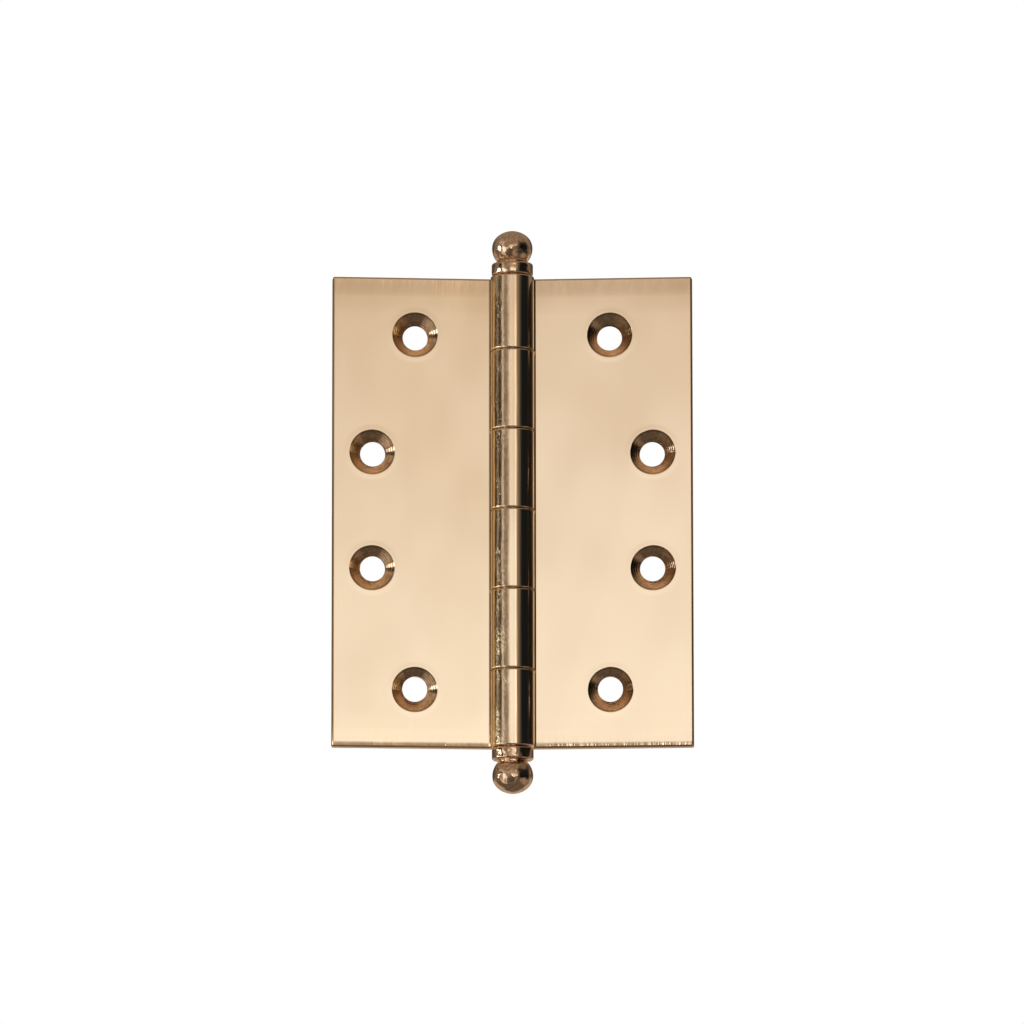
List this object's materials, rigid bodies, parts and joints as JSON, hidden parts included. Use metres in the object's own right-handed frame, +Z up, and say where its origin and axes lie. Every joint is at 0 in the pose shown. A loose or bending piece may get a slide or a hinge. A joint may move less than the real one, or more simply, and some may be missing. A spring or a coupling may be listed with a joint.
{
  "type": "door hinge",
  "caption": "Butt hinge for a door: flat leaves with countersunk screw holes, interleaved knuckles and a lift-out pin with ball finials.",
  "frame": {"origin": "on the pin axis, half way up the hinge", "axes": "+Z up the pin axis, -Y the way the countersinks face, -X towards the frame leaf and +X towards the door leaf"},
  "size_m": [0.076, 0.0092, 0.1198],
  "materials": {
    "leaf_brass": "polished, unlacquered, with fine lengthways polishing lines",
    "turned_brass": "turned on a lathe and polished",
    "pin_steel": "ground bright"
  },
  "bodies": {
    "frame_leaf": {"frame_leaf": "leaf_brass"},
    "door_leaf": {"door_leaf": "leaf_brass"},
    "pin": {"pin": "pin_steel"},
    "top_finial": {"top_finial": "turned_brass"},
    "bottom_finial": {"bottom_finial": "turned_brass"}
  },
  "joints": [
    {"name": "leaf_swing", "type": "hinge", "parent": "frame_leaf", "child": "door_leaf", "pos_m": [0, 0, 0], "axis": [0, 0, 1], "range_deg": [-170, 85]},
    {"name": "pin_lift", "type": "slide", "parent": "frame_leaf", "child": "pin", "axis": [0, 0, 1], "range_m": [0, 0.1]},
    {"name": "top_finial_turn", "type": "hinge", "parent": "pin", "child": "top_finial", "pos_m": [0, 0, 0.0564], "axis": [0, 0, 1], "continuous": true},
    {"name": "bottom_finial_turn", "type": "hinge", "parent": "frame_leaf", "child": "bottom_finial", "pos_m": [0, 0, -0.0564], "axis": [0, 0, 1], "continuous": true}
  ]
}
